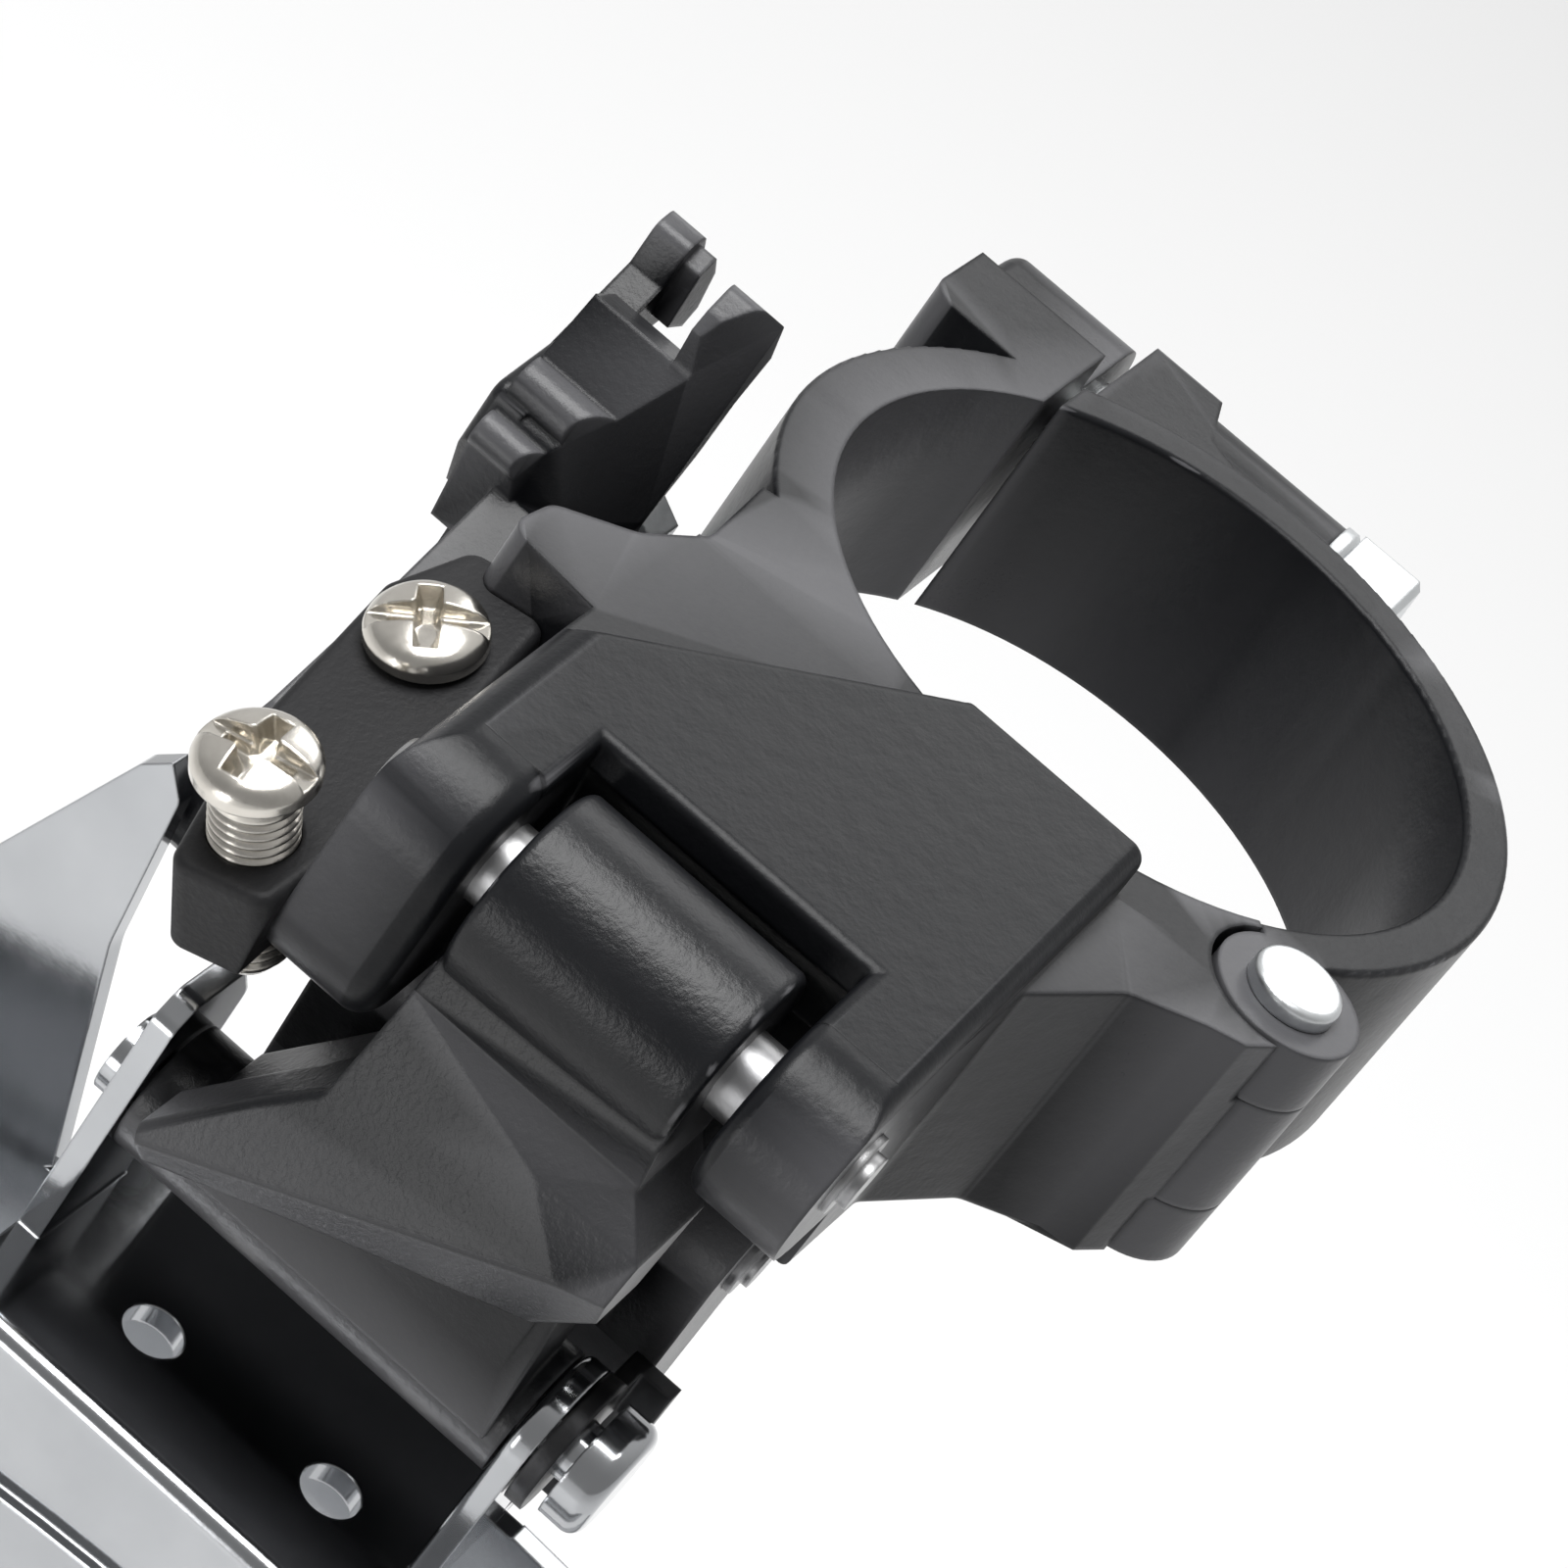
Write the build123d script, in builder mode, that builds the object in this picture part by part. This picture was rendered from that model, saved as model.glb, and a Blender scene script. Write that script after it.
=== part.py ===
from build123d import *

import os
from math import cos, radians, sin, sqrt

# Front derailleur for a 34.9 mm seat tube: hinged clamp, two-link parallelogram and chain cage.
# Millimetres. The origin is the middle of the clamp bore, +Z runs up the seat tube,
# +X points outboard to the chainrings and +Y points forward. All link pivots run along Y.

os.makedirs("parts", exist_ok=True)

# ---- driving dimensions ----
bore_r = 17.45                  # seat tube of 34.9 mm
clamp_wall = 3.1
clamp_half = 7.0                # half of the clamp's height
clamp_outer_r = bore_r + clamp_wall
band_outer_r = bore_r + 2.5

hinge_x, hinge_y = 15.7, 15.3   # pin of the hinged band
knuckle_r = 3.7
knuckle_half = 3.4
rivet_r = 1.6
split_y = -12.6                 # gap between the two clamp lugs
split_gap = 0.7
bolt_x = -25.7                  # clamp bolt, along Y
bolt_r = 2.5
lug_r = 4.7

upper_x, upper_z = 41.0, 2.7    # outer link's upper pivot
lower_x, lower_z = 39.0, -19.5  # outer link's lower pivot
inner_x, inner_z = 30.0, -12.2  # inner link's upper pivot
foot_x = inner_x + lower_x - upper_x
foot_z = inner_z + lower_z - upper_z
link_length = sqrt((upper_x - lower_x) ** 2 + (upper_z - lower_z) ** 2)

plateau_z = 9.7                 # top of the raised body at its inboard edge
plateau_x = 18.6
plateau_fall = 5.7              # degrees that the top falls outboard
slot_rear, slot_front = -12.2, 2.1
rear_ear_y, front_ear_y = -17.4, 6.9
ear_r = 4.74                    # tangent to the falling top
barrel_r = 4.75                 # outer link's upper barrel
upper_pin_r = 2.0
lower_pin_r = 1.5
running_gap = 0.05
lug_rear, lug_front = -13.0, -2.3   # lug of the inner link's upper pivot

sheet = 1.2                     # cage sheet
floor_z = -28.0                 # top of the cage's bridge
inner_plate_x = 34.0            # inboard face of the inner plate
outer_plate_x = 48.3            # outboard face of the outer plate
ear_rear, ear_front = -20.2, 3.9    # outer faces of the ears on the lower pivot
ring_z = -137.0                 # height of the crank axle below the clamp
ring_clear_r = 90.0             # lower edge of the outer plate, about the crank axle
cage_top_r = 109.0              # upper edge of the plates
tail_y, tail_z = -62.0, -64.0   # spacer at the rear of the cage

screw_r = 1.95                  # M4 limit screws
screw_head_r = 2.75
screw_tilt = Vector(0.32, -0.27, 0.91).normalized()


def across(x, z, y):
    """A plane square to Y at one pivot, with its normal forward."""
    return Plane(origin=(x, y, z), x_dir=(1, 0, 0), z_dir=(0, 1, 0))


def bar(x, z, radius, y_low, y_high, mode=Mode.ADD):
    """A round bar along Y through the point x, z."""
    with BuildSketch(across(x, z, y_low)) as section:
        Circle(radius)
    extrude(section.sketch, amount=y_high - y_low, mode=mode)


def side_profile(points, y_low, y_high, mode=Mode.ADD):
    """A block along Y whose outline is given as points x, z."""
    with BuildSketch(Plane.XZ.offset(-y_high)) as section:
        with BuildLine():
            Polyline(*points, close=True)
        make_face()
    extrude(section.sketch, amount=y_high - y_low, mode=mode)


def end_profile(points, x_low, x_high, mode=Mode.ADD):
    """A block along X whose outline is given as points y, z."""
    with BuildSketch(Plane.YZ.offset(x_low)) as section:
        with BuildLine():
            Polyline(*points, close=True)
        make_face()
    extrude(section.sketch, amount=x_high - x_low, mode=mode)


def plan_profile(points, z_low, z_high, mode=Mode.ADD):
    """A block along Z whose outline is given as points x, y."""
    with BuildSketch(Plane.XY.offset(z_low)) as section:
        with BuildLine():
            Polyline(*points, close=True)
        make_face()
    extrude(section.sketch, amount=z_high - z_low, mode=mode)


def drum(x, y, radius, z_low, z_high, mode=Mode.ADD):
    """A round block along Z."""
    with BuildSketch(Plane.XY.offset(z_low)) as section:
        with Locations((x, y)):
            Circle(radius)
    extrude(section.sketch, amount=z_high - z_low, mode=mode)


def rounded_ear(spots, y_low, y_high):
    """An ear along Y whose outline is the hull of circles, each given as x, z and radius."""
    with BuildSketch(across(0, 0, y_low)) as section:
        for spot_x, spot_z, radius in spots:
            with Locations((spot_x, -spot_z)):
                Circle(radius)
        make_hull()
    extrude(section.sketch, amount=y_high - y_low)


def soften(build, spots):
    """Rounds the edge nearest to each spot, given as x, y, z and radius, as far as the shape allows."""
    for x, y, z, radius in spots:
        nearest = build.edges().sort_by_distance((x, y, z))[0]
        for size in (radius, 0.6 * radius, 0.3 * radius):
            try:
                rounded = build.part.fillet(size, [nearest])
            except (ValueError, RuntimeError):
                continue
            if rounded.is_valid:
                add(rounded, mode=Mode.REPLACE)
                break


def keep(node, label):
    """Labels one finished piece and writes it out."""
    node.part.label = label
    export_step(node.part, f"parts/{label}.step")
    print(label, len(node.part.solids()), round(node.part.volume, 1))


# Frame of the limit screws' block: its top face, with x outboard and z along the screws.
block_top = Plane(origin=(36.6, -21.3, 0.85), x_dir=(0.947, 0.098, -0.304), z_dir=screw_tilt)
block_depth = 5.0
block_seat = block_top.offset(-block_depth)
low_along, low_above = -4.8, 2.0    # place and height of each limit screw's head
high_along, high_above = 8.3, 5.4


def screw_plane(along, above):
    """A plane square to a limit screw, at a distance above the block's top face."""
    return Plane(origin=block_top.offset(above).from_local_coords(Vector(along, 0, 0)),
                 x_dir=block_top.x_dir, z_dir=screw_tilt)


# The band's side of the clamp: everything forward of the split and of the hinge.
band_side = [
    (-45, split_y),
    (-8, split_y),
    (hinge_x - 5.2, hinge_y - 5.2),
    (hinge_x + 0.6, hinge_y + 0.6),
    (22, 40),
    (-45, 40),
]


# ---- block of the limit screws, with one screw nearly home and one screw proud ----
with BuildPart() as limit_screw_block:
    with BuildSketch(block_top):
        with BuildLine():
            Polyline((-10.6, 2.2), (-10.9, -1.4), (-7.0, -3.4), (4.5, -3.4), (11.6, -2.0), (11.4, 2.6),
                     (6.5, 3.6), (-8.4, 3.6), close=True)
        make_face()
    extrude(amount=-block_depth)
    fillet(limit_screw_block.edges().filter_by(lambda e: abs((e % 0.5).dot(screw_tilt)) > 0.99), 1.0)
    fillet(limit_screw_block.faces().sort_by(block_top.location.z_axis)[-1].edges(), 0.5)
    # behind the rear ear of the bracket
    plan_profile([(0, rear_ear_y), (80, rear_ear_y), (80, 20), (0, 20)], -30, 30, mode=Mode.SUBTRACT)
    for along in (low_along, high_along):
        with BuildSketch(screw_plane(along, 5)):
            Circle(screw_r + running_gap)
        extrude(amount=-30, mode=Mode.SUBTRACT)
keep(limit_screw_block, "limit_screw_block")


# ---- bracket: fixed half of the clamp, raised body, fork and lower lugs ----
with BuildPart() as bracket:
    drum(0, 0, clamp_outer_r, -clamp_half, clamp_half)
    plan_profile(
        [(12, -17.5), (18.2, -17.0), (21.8, -19.0), (24.6, -22.3), (28.0, -22.6), (28.6, -17.4),
         (36, -17.4), (36, 6.9), (29.5, 7.1), (24.2, 10.2), (22.0, 13.6), (21.2, 15.4), (19.3, 16.6), (8, 8), (10, -10)],
        -clamp_half, clamp_half,
    )
    # raised body with the fork's two ears
    side_profile(
        [(plateau_x, -clamp_half), (plateau_x, plateau_z + 1), (upper_x, plateau_z + 1),
         (upper_x, -2.55), (36.0, -3.4), (34.5, -clamp_half)],
        rear_ear_y, front_ear_y,
    )
    rounded_ear([(upper_x, upper_z, ear_r), (40.4, 2.2, 4.6), (37.0, 1.0, 4.0)], slot_rear, front_ear_y)
    # the rear ear reaches further down than the front one
    rounded_ear([(upper_x, upper_z, ear_r), (42.6, -2.6, 3.4), (37.4, -1.6, 3.8)], rear_ear_y, slot_rear)
    # the top falls outboard
    with BuildSketch(Plane(origin=(plateau_x, 0, plateau_z), x_dir=(0, 1, 0),
                           z_dir=(sin(radians(plateau_fall)), 0, cos(radians(plateau_fall))))):
        Rectangle(200, 200)
    extrude(amount=20, mode=Mode.SUBTRACT)
    # bevel between the ring's level and the raised body
    with BuildSketch(Plane.XY.offset(clamp_half)):
        with BuildLine():
            Polyline((6, -4.6), (17.2, -4.6), (31.6, -17.2), (31.6, -30), (6, -30), close=True)
        make_face()
    extrude(amount=4, taper=-38, mode=Mode.SUBTRACT)
    # lower lug for the inner link
    side_profile([(25.4, -6), (35.2, -6), (34.5, inner_z), (25.5, inner_z)], lug_rear, lug_front)
    bar(inner_x, inner_z, 4.5, lug_rear, lug_front)
    # ledge under the limit screws' block
    with BuildSketch(block_seat):
        with Locations((-0.6, 0.8)):
            Rectangle(14.5, 7.4)
    extrude(amount=-1.5)
    # clamp lug at the split
    with BuildSketch(Plane.XZ.offset(-(split_y - split_gap / 2))):
        with Locations((bolt_x, 0)):
            Circle(lug_r)
        with Locations((bolt_x + 5.5, 0)):
            Rectangle(11, 2 * lug_r)
        with Locations((-16.5, 0)):
            Rectangle(6.5, 2 * clamp_half)
    extrude(amount=8.2)
    # hinge knuckle in the middle of the height
    drum(hinge_x, hinge_y, knuckle_r, -knuckle_half, knuckle_half)
    # bore, the band's side, and room for the band's two ears
    drum(0, 0, bore_r, -20, 20, mode=Mode.SUBTRACT)
    for low, high in ((-20, -knuckle_half), (knuckle_half, 20)):
        plan_profile(band_side, low, high, mode=Mode.SUBTRACT)
        drum(hinge_x, hinge_y, knuckle_r + 0.35, low, high, mode=Mode.SUBTRACT)
    with BuildSketch(Plane.XY.offset(-knuckle_half)):
        with BuildLine():
            Polyline(*band_side, close=True)
        make_face()
        with Locations((hinge_x, hinge_y)):
            Circle(knuckle_r, mode=Mode.SUBTRACT)
    extrude(amount=2 * knuckle_half, mode=Mode.SUBTRACT)
    plan_profile([(-45, split_y - split_gap / 2), (-5, split_y - split_gap / 2), (-5, 0), (-45, 0)],
                 -20, 20, mode=Mode.SUBTRACT)
    # slot of the fork, with the round seat behind the outer link's barrel
    side_profile([(36.7, 14), (52, 14), (52, -14), (34.6, -14), (34.9, 2.7), (36.7, 3)],
                 slot_rear, slot_front, mode=Mode.SUBTRACT)
    bar(upper_x, upper_z, barrel_r + 0.8, slot_rear, slot_front, mode=Mode.SUBTRACT)
    soften(bracket, [
        (36.0, rear_ear_y, 7.9, 1.8), (34.0, front_ear_y, 8.1, 1.5),
        (46.1, slot_front, 2.7, 1.2), (46.1, slot_rear, 1.0, 1.2),
        (36.6, -5, 7.9, 0.5), (40.5, slot_rear, 7.5, 0.7), (40.5, slot_front, 7.5, 0.7),
        (plateau_x, 1.0, plateau_z, 0.35), (24.5, -10.5, 8.6, 0.5),
        (24.2, 10.2, 0, 1.5), (29.5, 7.1, 0, 1.5), (24.6, -22.3, 0, 1.4), (28.0, -22.6, 0, 1.2),
        (21.8, -19.0, 0, 2.0), (18.2, -17.0, 0, 2.5),
        (26.5, 8.7, clamp_half, 0.8), (26.5, 8.7, -clamp_half, 0.6), (23.0, -21, clamp_half, 0.7),
        (26.0, -22.5, clamp_half, 0.7), (20.0, -18, clamp_half, 0.7), (23.2, 12.0, clamp_half, 0.7),
        (-6.0, -19.7, clamp_half, 0.6), (0, -20.5, -clamp_half, 0.6),
        (-23.0, -21.1, lug_r, 0.9), (bolt_x - lug_r, -21.1, 0, 0.9), (-14.6, -21.1, 0, 1.6),
        (inner_x + 4.5, lug_front, inner_z, 0.6), (30, -12, -7, 0.5),
    ])
    # pin holes
    bar(upper_x, upper_z, upper_pin_r, -30, 30, mode=Mode.SUBTRACT)
    bar(inner_x, inner_z, upper_pin_r, -16, 2, mode=Mode.SUBTRACT)
    drum(hinge_x, hinge_y, rivet_r, -12, 12, mode=Mode.SUBTRACT)
    bar(bolt_x, 0, bolt_r + running_gap, -24, 0, mode=Mode.SUBTRACT)
    # seat and holes for the limit screws
    add(limit_screw_block.part, mode=Mode.SUBTRACT)
    for along in (low_along, high_along):
        with BuildSketch(screw_plane(along, 5)):
            Circle(screw_r + 0.15)
        extrude(amount=-30, mode=Mode.SUBTRACT)
keep(bracket, "bracket")


# ---- hinged band with its two ears and its bolt lug ----
with BuildPart() as clamp_band:
    drum(0, 0, band_outer_r, -clamp_half, clamp_half)
    plan_profile(band_side, -20, 20, mode=Mode.INTERSECT)
    drum(hinge_x, hinge_y, knuckle_r, knuckle_half + running_gap, clamp_half)
    drum(hinge_x, hinge_y, knuckle_r, -clamp_half, -knuckle_half - running_gap)
    plan_profile([(-29.4, split_y + split_gap / 2), (-15.8, split_y + split_gap / 2), (-19.2, 0.8),
                  (-21.8, -0.4), (-24.8, -6.6), (-29.4, -8.0)], -lug_r, lug_r)
    bar(bolt_x, 0, lug_r, split_y + split_gap / 2, 1.5)
    bar(bolt_x + 2.4, 0, lug_r, split_y + split_gap / 2, 1.5)
    drum(0, 0, bore_r, -20, 20, mode=Mode.SUBTRACT)
    plan_profile([(-45, -40), (20, -40), (20, split_y + split_gap / 2), (-45, split_y + split_gap / 2)],
                 -20, 20, mode=Mode.SUBTRACT)
    drum(hinge_x, hinge_y, knuckle_r + 0.35, -knuckle_half - running_gap, knuckle_half + running_gap,
         mode=Mode.SUBTRACT)
    drum(hinge_x, hinge_y, rivet_r + running_gap, -12, 12, mode=Mode.SUBTRACT)
    soften(clamp_band, [
        (0, band_outer_r, clamp_half, 0.8), (0, band_outer_r, -clamp_half, 0.8),
        (0, bore_r, clamp_half, 0.3), (-29.4, -10, lug_r, 0.8), (-29.4, -10, -lug_r, 0.8),
        (hinge_x + knuckle_r, hinge_y, clamp_half, 0.5), (hinge_x + knuckle_r, hinge_y, -clamp_half, 0.5),
    ])
    # room beside the bolt's head
    for swing in (0, 0.8, 1.6):
        bar(bolt_x + swing, 0, 5.3, 1.5, 12, mode=Mode.SUBTRACT)
    # the bolt's hole is long, because the lug swings while the bolt goes straight
    with BuildSketch(across(bolt_x + 1.2, 0, -14)):
        SlotOverall(2 * (bolt_r + 0.25) + 3.6, 2 * (bolt_r + 0.25))
    extrude(amount=18, mode=Mode.SUBTRACT)
keep(clamp_band, "clamp_band")

with BuildPart() as band_hinge_rivet:
    drum(hinge_x, hinge_y, rivet_r, -clamp_half - 0.1, clamp_half + 0.1)
    drum(hinge_x, hinge_y, 2.25, clamp_half + running_gap, clamp_half + 1.0)
    drum(hinge_x, hinge_y, 2.25, -clamp_half - 1.3, -clamp_half - running_gap)
    fillet(band_hinge_rivet.edges().group_by(Axis.Z)[-1], 0.35)
    chamfer(band_hinge_rivet.edges().group_by(Axis.Z)[0], 0.4)
keep(band_hinge_rivet, "band_hinge_rivet")


# ---- clamp bolt, threaded into the fixed lug, and its washer ----
washer_face = 1.5
with BuildPart() as clamp_washer:
    bar(bolt_x, 0, 4.9, washer_face, washer_face + 0.9)
    bar(bolt_x, 0, bolt_r, 0, 4, mode=Mode.SUBTRACT)
    chamfer(clamp_washer.edges().group_by(Axis.Y)[-1].sort_by(SortBy.LENGTH)[-1], 0.25)
keep(clamp_washer, "clamp_washer")

with BuildPart() as clamp_bolt:
    bar(bolt_x, 0, bolt_r, split_y - split_gap / 2 - 9.2, washer_face + 1.2)
    with BuildSketch(across(bolt_x, 0, washer_face + 0.9)):
        RegularPolygon(4.4, 6, major_radius=False)
    extrude(amount=4.0)
    chamfer(clamp_bolt.edges().group_by(Axis.Y)[-1], 0.35)
    with BuildSketch(across(bolt_x, 0, washer_face + 4.9)):
        RegularPolygon(2.0, 6, major_radius=False)
    extrude(amount=-2.4, mode=Mode.SUBTRACT)
    chamfer(clamp_bolt.edges().group_by(Axis.Y)[0], 0.5)
keep(clamp_bolt, "clamp_bolt")


# ---- outer link: barrels at both pivots and a faceted face with an overhanging lip ----
barrel_rear, barrel_front = -11.1, 0.6
foot_rear, foot_front = ear_rear + sheet + 0.1, ear_front - sheet - 0.1
ridge_front = Vector(47.0, 3.4, -5.6)
ridge_rear = Vector(46.9, -17.4, -16.6)
with BuildPart() as outer_link:
    end_profile([(barrel_rear, 3), (barrel_front, 3), (0.9, -2.6), (3.3, -4.6), (3.6, -7.4), (1.0, -10.8),
                 (-8, -14.0), (-16.3, -17.3), (-17.2, -15.6), (-13.9, -11.0), (-11.6, -8.2), (-11.4, -5)],
                36, 50)
    side_profile([(41, 3.2), (44.6, 3.2), (45.5, 0.6), (44.4, -2.4), (45.9, -4.2), (47.4, -8), (46.9, -18),
                  (43.4, -18), (42.8, -10), (40.4, -5), (37.4, -1.5), (37.4, 1.0)],
                 -18, 3, mode=Mode.INTERSECT)
    # facets above and below the ridge that crosses the face
    for third, side in ((Vector(44.9, -12.2, -5.0), -1), (Vector(44.9, -6.0, -14.6), 1)):
        facet = Plane(origin=ridge_front, x_dir=(ridge_rear - ridge_front),
                      z_dir=(ridge_rear - ridge_front).cross(third - ridge_front) * side)
        with BuildSketch(facet):
            Rectangle(80, 80)
        extrude(amount=12, mode=Mode.SUBTRACT)
    bar(upper_x, upper_z, barrel_r, barrel_rear, barrel_front)
    # set-back lower web
    side_profile([(38.4, -7.5), (43.2, -7.5), (42.6, -16), (42.2, lower_z), (36.2, lower_z), (37.2, -12)],
                 -11.0, 0.7)
    end_profile([(-11.0, -7.5), (0.9, -7.5), (1.6, -14), (1.9, lower_z), (-16.6, lower_z),
                 (-16.2, -15.0), (-13.4, -11.0)], 38.6, 42.6)
    bar(lower_x, lower_z, 3.3, foot_rear, foot_front)
    # hollow inboard side
    side_profile([(33, -6.4), (40.2, -6.4), (40.6, -15.3), (33, -15.3)], -9.4, -1.0, mode=Mode.SUBTRACT)
    bar(upper_x, upper_z, upper_pin_r + running_gap, -30, 10, mode=Mode.SUBTRACT)
    bar(lower_x, lower_z, lower_pin_r + running_gap, -30, 10, mode=Mode.SUBTRACT)
    soften(outer_link, [
        (upper_x + 2, barrel_rear, upper_z + 4.3, 0.5), (upper_x + 2, barrel_front, upper_z + 4.3, 0.5),
        (46.9, -7, -11.1, 0.6), (46.6, 2.2, -9.0, 0.6), (46.6, -15.5, -13.2, 0.5),
        (42.6, 1.2, -13, 0.18), (42.6, -16.3, -17.5, 0.3),
    ])
keep(outer_link, "outer_link")

with BuildPart() as outer_link_upper_pin:
    bar(upper_x, upper_z, upper_pin_r, rear_ear_y - 0.6, front_ear_y + 0.3)
    bar(upper_x, upper_z, 1.35, front_ear_y, front_ear_y + 0.8)
    chamfer(outer_link_upper_pin.edges().group_by(Axis.Y)[0], 0.4)
keep(outer_link_upper_pin, "outer_link_upper_pin")


# ---- pin of the lower outer pivot with its head and its clip ----
with BuildPart() as outer_link_lower_pin:
    bar(lower_x, lower_z, lower_pin_r, ear_rear - 0.9, 5.6)
    bar(lower_x, lower_z, 3.0, 5.5, 7.5)
    fillet(outer_link_lower_pin.edges().group_by(Axis.Y)[-1], 0.8)
    bar(lower_x, lower_z, 2.1, ear_rear - 1.0, ear_rear)
keep(outer_link_lower_pin, "outer_link_lower_pin")

with BuildPart() as lower_pin_clip:
    with BuildSketch(across(lower_x, lower_z, ear_front + 0.1)):
        Circle(3.5)
        with Locations((-3.2, -0.6)):
            Rectangle(4.4, 2.6)
        Circle(lower_pin_r, mode=Mode.SUBTRACT)
    extrude(amount=0.9)
    with BuildSketch(across(lower_x, lower_z, ear_front + 0.1)):
        with Locations((-4.9, -0.6)):
            Rectangle(1.0, 2.6)
    extrude(amount=2.6)
keep(lower_pin_clip, "lower_pin_clip")


# ---- inner link in one casting with the cable arm ----
front_cheek, front_cheek_end = 1.9, 5.0
rear_cheek, rear_cheek_end = -17.4, lug_rear - 0.15
arm_rear, arm_front = -27.4, -24.4
anchor_plane = Plane(origin=(5.6, -25.7, -6.3), x_dir=(0, 0, 1), z_dir=(-1, 0, 0))
with BuildPart() as inner_link:
    # solid web of the cable channel, its front horn and two ribs, cut off by the slanting front face
    side_profile([(13.0, -5.2), (14.6, 0.4), (13.6, 2.2), (12.0, 3.9), (9.6, 7.6), (6.4, 6.4), (6.8, 3.0),
                  (8.2, -1.0), (8.0, -5.2)], -29.5, -21.9)
    side_profile([(9.6, 7.4), (10.2, 9.8), (9.7, 10.8), (8.4, 12.0), (7.0, 11.2), (5.4, 8.6), (6.4, 6.2)],
                 -24.7, -21.9)
    bar(13.9, 0.9, 1.0, -29.5, -25.0)
    bar(12.2, 3.2, 1.3, -29.5, -24.0)
    with BuildSketch(Plane(origin=(14, -26.4, 1.2), z_dir=(0.598, 0.799, 0.055))):
        Rectangle(60, 60)
    extrude(amount=12, mode=Mode.SUBTRACT)
    for low, high in ((front_cheek, front_cheek_end), (rear_cheek, rear_cheek_end)):
        bar(inner_x, inner_z, 3.8, low, high)
        side_profile([(26.2, inner_z), (33.8, inner_z), (32.9, -18.6), (26.0, -18.6)], low, high)
    side_profile([(26.1, -17.8), (33.0, -17.8), (31.6, -29.0), (25.6, -29.0)], rear_cheek, front_cheek_end)
    side_profile([(25.6, -28.9), (31.6, -28.9), (31.0, foot_z), (25.0, foot_z)], -13.6, 0.8)
    bar(foot_x, foot_z, 3.1, -13.6, 0.8)
    side_profile([(22, -20.5), (28.4, -20.5), (27.6, -28), (22, -28)], -13.5, 1.2, mode=Mode.SUBTRACT)
    bar(inner_x, inner_z, 3.4, arm_rear, rear_cheek)
    # arm that rises behind the clamp
    side_profile([(7.5, -3.0), (14.0, -1.0), (20.0, -5.2), (27.0, -9.0), (33.0, -10.6), (33.2, -13.8),
                  (30.5, -15.6), (24.0, -15.6), (15.0, -12.0), (9.0, -9.4)], arm_rear, arm_front)
    # rear wall of the channel, with its tip
    side_profile([(11.4, -4.2), (13.7, -0.3), (13.6, 3.0), (8.2, 4.1), (4.6, 7.2), (4.4, 9.6), (3.0, 10.0),
                  (1.6, 8.4), (0.4, 5.4), (0.9, 4.2), (4.6, 3.2), (7.2, -6.0)], -30.2, -28.2)
    side_profile([(3.9, 8.6), (3.0, 9.4), (1.6, 8.0), (0.6, 5.4), (1.2, 4.4), (3.6, 5.2)], -28.3, -27.2)
    # boss for the cable anchor
    side_profile([(5.6, -9.6), (10.8, -9.6), (10.8, -3.0), (5.6, -3.0)], -29.0, -22.4)
    with BuildSketch(anchor_plane.offset(-8)):
        Circle(2.5)
    extrude(amount=20, mode=Mode.SUBTRACT)
    bar(inner_x, inner_z, upper_pin_r + running_gap, -24, 10, mode=Mode.SUBTRACT)
    bar(foot_x, foot_z, lower_pin_r + 0.08, -20, 10, mode=Mode.SUBTRACT)
    soften(inner_link, [
        (13.7, -29.2, -0.3, 1.2), (13.6, -29.2, 3.0, 1.6), (4.4, -29.2, 9.6, 0.7), (3.0, -29.2, 10.0, 0.7),
        (0.4, -29.2, 5.4, 0.8), (8.4, -23.0, 12.0, 0.7), (9.6, -24.0, 10.8, 0.5), (7.0, -22.6, 11.2, 0.7),
        (9.6, -24.0, 7.5, 0.8), (13.6, -30.2, 1.4, 0.5), (10.9, -30.2, 3.6, 0.5), (12.4, -28.2, 3.3, 0.4),
        (12.4, -25.2, 2.9, 0.4), (inner_x, front_cheek_end, inner_z + 3.8, 0.5),
        (34.0, -7.0, -17.8, 0.8),
    ])
keep(inner_link, "inner_link")

with BuildPart() as inner_link_upper_pin:
    bar(inner_x, inner_z, upper_pin_r, -23.5, front_cheek_end + 0.4)
    bar(inner_x, inner_z, 1.3, front_cheek_end, front_cheek_end + 0.8)
keep(inner_link_upper_pin, "inner_link_upper_pin")

with BuildPart() as inner_link_lower_pin:
    bar(foot_x, foot_z, lower_pin_r, -15.6, 2.8)
    bar(foot_x, foot_z, 2.2, 2.3, 3.3)
    bar(foot_x, foot_z, 2.0, -15.9, -15.1)
keep(inner_link_lower_pin, "inner_link_lower_pin")


# ---- return spring: three coils round the inner link's upper pin ----
coil_r, wire_r = 3.0, 0.5
with BuildPart() as return_spring:
    with BuildLine() as coil:
        Helix(pitch=1.04, height=2.6, radius=coil_r, center=(inner_x, lug_front + 0.75, inner_z),
              direction=(0, 1, 0))
    with BuildSketch(Plane(origin=coil.line @ 0, z_dir=coil.line % 0)):
        Circle(wire_r)
    sweep(is_frenet=True)
keep(return_spring, "return_spring")


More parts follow.
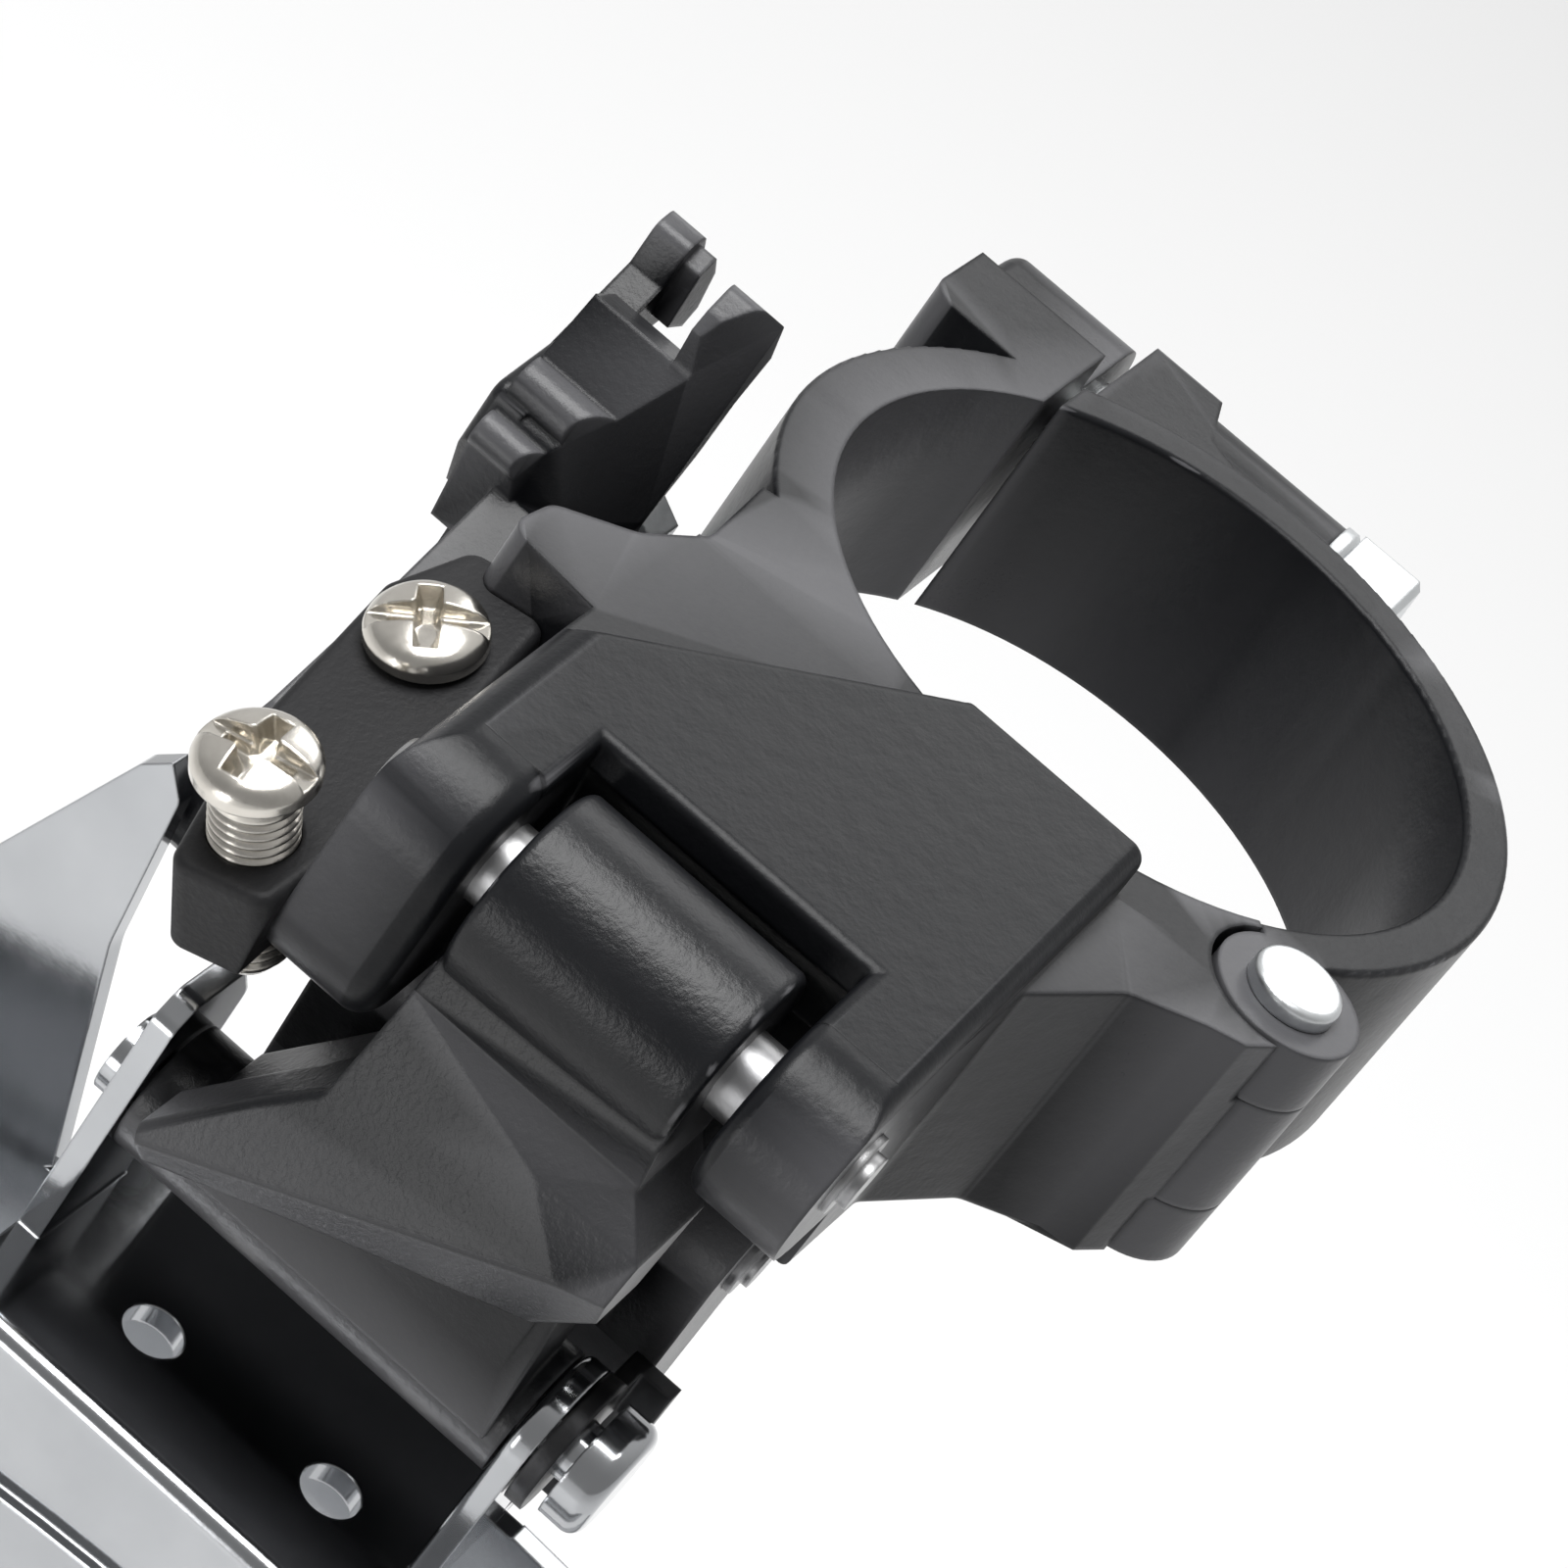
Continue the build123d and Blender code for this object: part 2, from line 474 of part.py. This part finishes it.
# ---- cage: outer plate with the bridge and the ears, inner plate, spacer and screw at the tail ----
def curved_plate(x_low, low_r, high_r, front_y, rear_y, thickness=sheet, mode=Mode.ADD):
    """A curved plate about the crank axle, between two radii and two stations along Y."""
    with BuildSketch(Plane.YZ.offset(x_low)) as outline:
        with Locations((0, ring_z)):
            Circle(high_r)
            Circle(low_r, mode=Mode.SUBTRACT)
        with Locations(((front_y + rear_y) / 2, ring_z + 60)):
            Rectangle(front_y - rear_y, 120, mode=Mode.INTERSECT)
    extrude(outline.sketch, amount=thickness, mode=mode)


with BuildPart() as cage_outer_plate:
    curved_plate(outer_plate_x - sheet, ring_clear_r, cage_top_r, 21, -70)
    # stamped rib
    curved_plate(outer_plate_x, 97, 103, 13, -52, 0.7)
    curved_plate(outer_plate_x - sheet, 98, 102, 12, -51, 0.6, mode=Mode.SUBTRACT)
    plan_profile([(inner_plate_x, ear_rear), (outer_plate_x, ear_rear), (outer_plate_x, ear_front),
                  (inner_plate_x, ear_front)], floor_z - sheet, floor_z)
    # ears on the lower outer pivot
    side_profile([(35.5, floor_z - 0.6), (42.5, floor_z - 0.6), (42.5, lower_z), (35.5, lower_z)],
                 ear_front - sheet, ear_front)
    bar(lower_x, lower_z, 3.5, ear_front - sheet, ear_front)
    side_profile([(35.5, floor_z - 0.6), (42.5, floor_z - 0.6), (42.5, -14.2), (41.3, -13.0), (37.6, -13.0),
                  (35.5, -15.4)], ear_rear, ear_rear + sheet)
    for hole_y in (-12.5, -2.0):
        drum(42.0, hole_y, 1.5, -40, -20, mode=Mode.SUBTRACT)
    bar(lower_x, lower_z, lower_pin_r, -30, 10, mode=Mode.SUBTRACT)
    with BuildSketch(Plane.YZ.offset(30)):
        with Locations((tail_y, tail_z)):
            Circle(2.0)
    extrude(amount=40, mode=Mode.SUBTRACT)
    soften(cage_outer_plate, [
        (48, 21, -30.0, 5), (48, 21, -49.5, 4), (48, -70, -53.5, 5), (48, -70, -80.4, 3),
        (outer_plate_x, -8, floor_z, 0.9), (42.5, 3.3, -26.0, 0.4),
        (40.9, ear_rear + 0.6, -13.0, 1.0), (42.5, ear_rear + 0.6, -14.2, 1.0),
        (35.5, ear_rear + 0.6, -15.4, 1.5),
    ])
keep(cage_outer_plate, "cage_outer_plate")

with BuildPart() as cage_inner_plate:
    curved_plate(inner_plate_x, ring_clear_r - 5, cage_top_r - 1, 21, -70)
    # stamped rib
    curved_plate(inner_plate_x - 0.7, 89, 94, 14, -52, 0.7)
    curved_plate(inner_plate_x + sheet - 0.6, 90, 93, 13, -51, 0.6, mode=Mode.SUBTRACT)
    end_profile([(-22.0, -31.0), (-25.4, -19.0), (-26.2, -10.4), (-27.4, -9.0), (-28.6, -10.2),
                 (-33.0, -21.0), (-39.0, -29.0), (-50.0, -42.0), (-40, -50)],
                inner_plate_x, inner_plate_x + sheet)
    plan_profile([(inner_plate_x, ear_rear + 0.6), (38.6, ear_rear + 0.6), (38.6, ear_front - 0.6),
                  (inner_plate_x, ear_front - 0.6)], floor_z - 2 * sheet, floor_z - sheet)
    # ears on the lower inner pivot
    for low, high in ((-15.1, -13.9), (1.1, 2.3)):
        side_profile([(foot_x, foot_z - 3.6), (inner_plate_x + 0.5, foot_z - 3.6),
                      (inner_plate_x + 0.5, foot_z + 3.6), (foot_x, foot_z + 3.6)], low, high)
        bar(foot_x, foot_z, 3.6, low, high)
    bar(foot_x, foot_z, lower_pin_r, -20, 10, mode=Mode.SUBTRACT)
    with BuildSketch(Plane.YZ.offset(30)):
        with Locations((tail_y, tail_z)):
            Circle(2.0)
    extrude(amount=40, mode=Mode.SUBTRACT)
    plan_profile([(30, ear_rear - 1), (50, ear_rear - 1), (50, ear_front + 1), (30, ear_front + 1)],
                 floor_z - sheet, floor_z + 5, mode=Mode.SUBTRACT)
    soften(cage_inner_plate, [
        (34.6, 21, -31.1, 5), (34.6, 21, -54.6, 4), (34.6, -70, -54.8, 5), (34.6, -70, -88.8, 3),
        (34.6, -25.4, -19.0, 4), (34.6, -33.0, -21.0, 5), (34.6, -26.2, -10.4, 0.8), (34.6, -28.6, -10.2, 0.8),
    ])
keep(cage_inner_plate, "cage_inner_plate")

with BuildPart() as cage_tail_spacer:
    with BuildSketch(Plane(origin=(inner_plate_x + sheet, tail_y, tail_z), x_dir=(0, 1, 0), z_dir=(1, 0, 0))):
        Circle(3.2)
        Circle(2.0, mode=Mode.SUBTRACT)
    extrude(amount=outer_plate_x - inner_plate_x - 2 * sheet)
keep(cage_tail_spacer, "cage_tail_spacer")

with BuildPart() as cage_tail_screw:
    with BuildSketch(Plane(origin=(inner_plate_x - 2.6, tail_y, tail_z), x_dir=(0, 1, 0), z_dir=(1, 0, 0))):
        Circle(2.0)
    extrude(amount=outer_plate_x - inner_plate_x + 2.8)
    with BuildSketch(Plane(origin=(outer_plate_x, tail_y, tail_z), x_dir=(0, 1, 0), z_dir=(1, 0, 0))):
        Circle(3.6)
    extrude(amount=1.9)
    fillet(cage_tail_screw.edges().group_by(Axis.X)[-1], 0.8)
    with BuildSketch(Plane(origin=(outer_plate_x + 1.9, tail_y, tail_z), x_dir=(0, 1, 0), z_dir=(1, 0, 0))):
        Rectangle(3.4, 0.8)
        Rectangle(0.8, 3.4)
    extrude(amount=-1.1, mode=Mode.SUBTRACT)
keep(cage_tail_screw, "cage_tail_screw")

with BuildPart() as cage_tail_nut:
    with BuildSketch(Plane(origin=(inner_plate_x - 2.2, tail_y, tail_z), x_dir=(0, 1, 0), z_dir=(1, 0, 0))):
        RegularPolygon(3.5, 6, major_radius=False)
        Circle(2.0, mode=Mode.SUBTRACT)
    extrude(amount=2.2)
keep(cage_tail_nut, "cage_tail_nut")


thread_pitch = 0.5


def limit_screw(along, above, length, recess_turn):
    """A limit screw with a cross and slot recess, whose head's top stands at a height above the block."""
    axis = screw_plane(along, above)
    outline = [(0, -length), (screw_r - 0.7, -length), (screw_r - 0.3, -length + 0.6)]
    turns = int((length - 3.2) / thread_pitch)
    for turn in range(turns):
        start = -length + 0.9 + turn * thread_pitch
        outline.append((screw_r - 0.32, start))
        outline.append((screw_r, start + 0.3 * thread_pitch))
        outline.append((screw_r, start + 0.5 * thread_pitch))
    outline += [(screw_r - 0.32, -2.1), (screw_r - 0.32, -1.9), (screw_head_r - 0.25, -1.9),
                (screw_head_r, -1.65), (screw_head_r, -1.15)]
    with BuildPart() as screw:
        with BuildSketch(Plane(origin=axis.origin, x_dir=axis.x_dir, z_dir=-axis.y_dir)):
            with BuildLine():
                Polyline(*outline)
                ThreePointArc((screw_head_r, -1.15), (2.5, -0.72), (2.05, -0.42))
                ThreePointArc((2.05, -0.42), (1.03, -0.11), (0, 0))
                Line((0, 0), (0, -length))
            make_face()
        revolve(axis=Axis(origin=axis.origin, direction=screw_tilt))
        # cross recess, and the slot that crosses the whole head
        down = Plane(origin=axis.offset(0.02).origin, x_dir=axis.x_dir.rotate(
            Axis(axis.origin, screw_tilt), recess_turn), z_dir=-screw_tilt)
        with BuildSketch(down):
            Rectangle(3.9, 1.25)
            Rectangle(1.25, 3.9)
            Rectangle(1.9, 1.9, rotation=45)
        extrude(amount=1.55, taper=13, mode=Mode.SUBTRACT)
        with BuildSketch(down):
            Rectangle(6.4, 1.0)
        extrude(amount=0.98, mode=Mode.SUBTRACT)
    return screw


low_limit_screw = limit_screw(low_along, low_above, 9.8, 118)
keep(low_limit_screw, "low_limit_screw")
high_limit_screw = limit_screw(high_along, high_above, 13.0, 88)
keep(high_limit_screw, "high_limit_screw")


# ---- cable anchor on the inboard side of the arm ----
with BuildPart() as cable_anchor_plate:
    with BuildSketch(anchor_plane):
        Circle(3.9)
        with Locations((3.0, 0)):
            Rectangle(3.6, 3.0)
        Circle(2.5, mode=Mode.SUBTRACT)
    extrude(amount=1.4)
keep(cable_anchor_plate, "cable_anchor_plate")

with BuildPart() as cable_anchor_bolt:
    with BuildSketch(anchor_plane.offset(-5.0)):
        Circle(2.5)
    extrude(amount=6.5)
    with BuildSketch(anchor_plane.offset(1.4)):
        RegularPolygon(3.9, 6, major_radius=False)
    extrude(amount=3.2)
    chamfer(cable_anchor_bolt.edges().group_by(Axis.X)[0], 0.4)
keep(cable_anchor_bolt, "cable_anchor_bolt")
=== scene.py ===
import bpy
from mathutils import Matrix, Vector


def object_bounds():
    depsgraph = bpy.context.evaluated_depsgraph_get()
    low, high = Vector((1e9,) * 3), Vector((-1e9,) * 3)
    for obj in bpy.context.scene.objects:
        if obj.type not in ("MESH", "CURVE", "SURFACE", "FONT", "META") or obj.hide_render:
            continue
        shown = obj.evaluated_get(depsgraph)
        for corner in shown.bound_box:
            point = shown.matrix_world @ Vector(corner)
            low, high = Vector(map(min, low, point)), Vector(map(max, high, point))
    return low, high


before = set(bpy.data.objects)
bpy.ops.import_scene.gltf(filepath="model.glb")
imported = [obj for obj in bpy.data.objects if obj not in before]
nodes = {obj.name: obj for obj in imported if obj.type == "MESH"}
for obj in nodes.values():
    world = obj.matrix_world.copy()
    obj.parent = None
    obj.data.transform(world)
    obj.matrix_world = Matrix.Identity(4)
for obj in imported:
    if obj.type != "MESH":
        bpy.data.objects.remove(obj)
cad_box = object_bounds()

# All places and lengths are in metres, in the frame's own axes.

# ---- camera at the photograph's angle ----
CAMERA_PLACE = (0.1999, 0.01771, 0.11884)
CAMERA_RIGHT = Vector((-0.4327, 0.7509, 0.4989))
CAMERA_DOWN = Vector((0.3508, 0.65, -0.6742))
CAMERA_AHEAD = Vector((-0.8305, -0.1167, -0.5446))
SENSOR_MM = 36.0
LENS_MM = 112.5
NEAREST, FARTHEST = 0.01, 20.0


def make_camera():
    data = bpy.data.cameras.new("camera")
    data.sensor_width = SENSOR_MM
    data.lens = LENS_MM
    data.clip_start = NEAREST
    data.clip_end = FARTHEST
    camera = bpy.data.objects.new("camera", data)
    bpy.context.scene.collection.objects.link(camera)
    turn = Matrix((CAMERA_RIGHT, -CAMERA_DOWN, -CAMERA_AHEAD)).transposed()
    camera.matrix_world = Matrix.Translation(CAMERA_PLACE) @ turn.to_4x4()
    bpy.context.scene.camera = camera


make_camera()

# ---- materials ----
WORN_FROM, WORN_TO = 0.53, 0.62     # pointiness where paint begins to rub, and is rubbed through
BEVEL_SAMPLES = 6


class Finish:
    """One procedural material: node helpers round a Principled shader."""

    def __init__(self, name):
        self.mat = bpy.data.materials.new(name)
        self.mat.use_nodes = True
        self.tree = self.mat.node_tree
        self.shader = self.tree.nodes["Principled BSDF"]
        self.coord = self.tree.nodes.new("ShaderNodeTexCoord")

    def node(self, kind, **values):
        made = self.tree.nodes.new(kind)
        for key, value in values.items():
            setattr(made, key, value)
        return made

    def link(self, source, target):
        self.tree.links.new(source, target)

    def noise(self, scale, detail, roughness=0.5):
        """Mottling with `scale` cells to the metre: 1000 gives marks about 1 mm across."""
        made = self.node("ShaderNodeTexNoise")
        made.inputs["Scale"].default_value = scale
        made.inputs["Detail"].default_value = detail
        made.inputs["Roughness"].default_value = roughness
        self.link(self.coord.outputs["Object"], made.inputs["Vector"])
        return made.outputs["Fac"]

    def blend(self, source, dark, light, low=0.3, high=0.7):
        """The dark colour where the source is under low, the light one where it is over high."""
        made = self.node("ShaderNodeValToRGB")
        stops = ((low, dark), (high, light))
        for element, (place, colour) in zip(made.color_ramp.elements, stops):
            element.position = place
            element.color = (*colour, 1)
        self.link(source, made.inputs["Fac"])
        return made.outputs["Color"]

    def span(self, source, low, high):
        """The source's 0 to 1 spread over low to high."""
        made = self.node("ShaderNodeMapRange")
        made.inputs["To Min"].default_value = low
        made.inputs["To Max"].default_value = high
        self.link(source, made.inputs["Value"])
        return made.outputs["Result"]

    def rub(self, colour, bare):
        """The colour, giving way to the bare one on worn outer edges."""
        geometry = self.node("ShaderNodeNewGeometry")
        worn = self.node("ShaderNodeMapRange")
        worn.inputs["From Min"].default_value = WORN_FROM
        worn.inputs["From Max"].default_value = WORN_TO
        self.link(geometry.outputs["Pointiness"], worn.inputs["Value"])
        made = self.node("ShaderNodeMix", data_type="RGBA")
        self.link(worn.outputs["Result"], made.inputs["Factor"])
        self.link(colour, made.inputs["A"])
        made.inputs["B"].default_value = (*bare, 1)
        return made.outputs["Result"]

    def add(self, first, second, weight):
        """first + second * weight."""
        made = self.node("ShaderNodeMath", operation="MULTIPLY_ADD")
        self.link(second, made.inputs[0])
        made.inputs[1].default_value = weight
        self.link(first, made.inputs[2])
        return made.outputs[0]

    def bump(self, height, strength, distance, soft_edge):
        """Surface grain, on edges that catch the light as if rounded to soft_edge; 0 for none."""
        made = self.node("ShaderNodeBump")
        made.inputs["Strength"].default_value = strength
        made.inputs["Distance"].default_value = distance
        self.link(height, made.inputs["Height"])
        if soft_edge:
            bevel = self.node("ShaderNodeBevel")
            bevel.samples = BEVEL_SAMPLES
            bevel.inputs["Radius"].default_value = soft_edge
            self.link(bevel.outputs["Normal"], made.inputs["Normal"])
        self.link(made.outputs["Normal"], self.shader.inputs["Normal"])

    def set(self, **values):
        """Link, or set on the shader's own socket, each value; returns the material."""
        for key, value in values.items():
            socket = self.shader.inputs[key.replace("_", " ")]
            if hasattr(value, "is_linked"):
                self.link(value, socket)
            elif isinstance(value, tuple):
                socket.default_value = (*value, 1)
            else:
                socket.default_value = value
        return self.mat


def black_paint():
    """Gloss black paint over a die casting: fine orange peel, faint dust and rubbed edges."""
    f = Finish("black_paint")
    peel = f.noise(900, 2.0)
    grain = f.noise(4200, 2.0, 0.6)
    cloud = f.noise(120, 4.0)
    colour = f.blend(cloud, dark=(0.0045, 0.0048, 0.006), light=(0.008, 0.0085, 0.0098))
    colour = f.rub(colour, bare=(0.075, 0.075, 0.08))
    f.bump(f.add(peel, grain, 0.35), strength=0.16, distance=0.0002, soft_edge=0.00035)
    rough = f.span(f.add(cloud, grain, 0.5), 0.2, 0.36)
    return f.set(Base_Color=colour, Roughness=rough, Specular_IOR_Level=0.2)


def satin_paint():
    """The same black with more grain, as on the links."""
    f = Finish("satin_paint")
    grain = f.noise(2600, 3.0, 0.65)
    cloud = f.noise(160, 4.0)
    colour = f.blend(cloud, dark=(0.0045, 0.0048, 0.006), light=(0.009, 0.0095, 0.011))
    colour = f.rub(colour, bare=(0.085, 0.085, 0.09))
    f.bump(grain, strength=0.22, distance=0.00015, soft_edge=0.0003)
    rough = f.span(cloud, 0.26, 0.4)
    return f.set(Base_Color=colour, Roughness=rough, Specular_IOR_Level=0.28)


def black_plastic():
    """Matte moulded plastic."""
    f = Finish("black_plastic")
    grain = f.noise(3200, 3.0, 0.6)
    cloud = f.noise(220, 3.0)
    colour = f.blend(cloud, dark=(0.008, 0.008, 0.009), light=(0.014, 0.014, 0.015))
    f.bump(grain, strength=0.3, distance=0.00012, soft_edge=0.0003)
    rough = f.span(grain, 0.42, 0.62)
    return f.set(Base_Color=colour, Roughness=rough, Specular_IOR_Level=0.25)


def plated(name, dark, light, rough, scale, strength, soft_edge=0.00025):
    """A bare or plated metal with fine marks, `scale` of them to the metre, in its surface."""
    f = Finish(name)
    marks = f.noise(scale, 4.0, 0.6)
    cloud = f.noise(140, 4.0)
    colour = f.blend(f.add(cloud, marks, 0.25), dark, light, low=0.35, high=0.85)
    f.bump(marks, strength, distance=0.0001, soft_edge=soft_edge)
    return f.set(Base_Color=colour, Metallic=1.0, Roughness=f.span(marks, *rough))


paint = black_paint()
satin = satin_paint()
plastic = black_plastic()
chrome = plated("chrome", dark=(0.41, 0.42, 0.435), light=(0.48, 0.49, 0.505),
                rough=(0.07, 0.17), scale=420, strength=0.07, soft_edge=0.0002)
zinc = plated("zinc_steel", dark=(0.58, 0.60, 0.61), light=(0.80, 0.82, 0.83),
              rough=(0.24, 0.42), scale=1800, strength=0.16)
nickel = plated("nickel_steel", dark=(0.55, 0.52, 0.47), light=(0.80, 0.77, 0.71),
                rough=(0.13, 0.28), scale=1200, strength=0.12, soft_edge=0.00018)
pins = plated("pin_steel", dark=(0.26, 0.26, 0.27), light=(0.46, 0.46, 0.46),
              rough=(0.28, 0.46), scale=1500, strength=0.16)
spring = plated("spring_steel", dark=(0.24, 0.24, 0.25), light=(0.48, 0.47, 0.46),
                rough=(0.22, 0.38), scale=1500, strength=0.1, soft_edge=0.0)
blackened = plated("black_steel", dark=(0.03, 0.03, 0.032), light=(0.07, 0.07, 0.072),
                   rough=(0.3, 0.45), scale=1500, strength=0.16)

finishes = {
    "bracket": paint, "clamp_band": paint, "outer_link": satin, "inner_link": satin,
    "limit_screw_block": plastic, "band_hinge_rivet": zinc, "clamp_washer": zinc,
    "clamp_bolt": zinc, "outer_link_upper_pin": pins, "inner_link_upper_pin": pins,
    "inner_link_lower_pin": pins, "outer_link_lower_pin": chrome, "lower_pin_clip": blackened,
    "return_spring": spring, "cage_outer_plate": chrome, "cage_inner_plate": chrome,
    "cage_tail_spacer": zinc, "cage_tail_screw": nickel, "cage_tail_nut": nickel,
    "low_limit_screw": nickel, "high_limit_screw": nickel, "cable_anchor_bolt": zinc,
    "cable_anchor_plate": zinc,
}
for name, material in finishes.items():
    mesh = nodes[name].data
    if not mesh.materials:
        mesh.materials.append(material)
    for index in range(len(mesh.materials)):
        mesh.materials[index] = material

# ---- floor ----
FLOOR_DROP = 0.12                   # below the lowest point of the part
FLOOR_HALF = 3.0
FLOOR_DARK, FLOOR_LIGHT = (0.66, 0.66, 0.66), (0.70, 0.70, 0.70)
FLOOR_GLOW = 0.27                   # keeps the floor as pale as the photograph's ground


def make_stage():
    """A wide pale floor well under the part, so that it stands in open light."""
    half = FLOOR_HALF
    low = cad_box[0][2] - FLOOR_DROP
    corners = [(-half, -half, low), (half, -half, low), (half, half, low), (-half, half, low)]
    mesh = bpy.data.meshes.new("floor")
    mesh.from_pydata(corners, [], [(0, 1, 2, 3)])
    floor = bpy.data.objects.new("floor", mesh)
    bpy.context.scene.collection.objects.link(floor)
    f = Finish("floor")
    colour = f.blend(f.noise(2.0, 2.0), FLOOR_DARK, FLOOR_LIGHT)
    mesh.materials.append(f.set(Base_Color=colour, Roughness=0.9,
                                Emission_Color=(1.0, 1.0, 1.0), Emission_Strength=FLOOR_GLOW))


# ---- light ----
LAMP_AIM = Vector((0.02, 0, 0))
LAMPS = {                           # name: place, side of the square, watts
    "key": (Vector((-0.6, -0.1, 0.5)), 0.4, 1.15),
    "overhead": (Vector((0.1, -0.12, 0.45)), 0.3, 3.1),
    "near": (Vector((0.46, -0.13, -0.09)), 0.15, 0.36),
}
BRIGHT_SIDE = (-0.74, -0.16, 0.65)  # behind and above the part, as the photograph looks at it
SKY_LEVEL = {"From Min": -0.3, "From Max": 0.9, "To Min": 0.32, "To Max": 0.64}


def soft_light(name, place, side, power):
    """A square area light that faces the part and that no camera sees."""
    data = bpy.data.lights.new(name, "AREA")
    data.size = side
    data.energy = power
    lamp = bpy.data.objects.new(name, data)
    bpy.context.scene.collection.objects.link(lamp)
    lamp.visible_camera = False
    turn = (LAMP_AIM - place).normalized().to_track_quat("-Z", "Y")
    lamp.matrix_world = Matrix.Translation(place) @ turn.to_matrix().to_4x4()


def make_light():
    """A pale room, about twice as bright on one side as on the other, with three soft lamps."""
    world = bpy.data.worlds.new("studio")
    bpy.context.scene.world = world
    world.use_nodes = True
    tree = world.node_tree
    sky = tree.nodes["Background"]
    sky.inputs["Color"].default_value = (1.0, 1.0, 1.0, 1.0)
    coord = tree.nodes.new("ShaderNodeTexCoord")
    toward = tree.nodes.new("ShaderNodeVectorMath")
    toward.operation = "DOT_PRODUCT"
    toward.inputs[1].default_value = BRIGHT_SIDE
    tree.links.new(coord.outputs["Generated"], toward.inputs[0])
    level = tree.nodes.new("ShaderNodeMapRange")
    level.interpolation_type = "SMOOTHSTEP"
    for key, value in SKY_LEVEL.items():
        level.inputs[key].default_value = value
    tree.links.new(toward.outputs["Value"], level.inputs["Value"])
    tree.links.new(level.outputs["Result"], sky.inputs["Strength"])
    for name, (place, side, power) in LAMPS.items():
        soft_light(name, place, side, power)


make_stage()
make_light()
bpy.context.scene.view_settings.view_transform = "Standard"
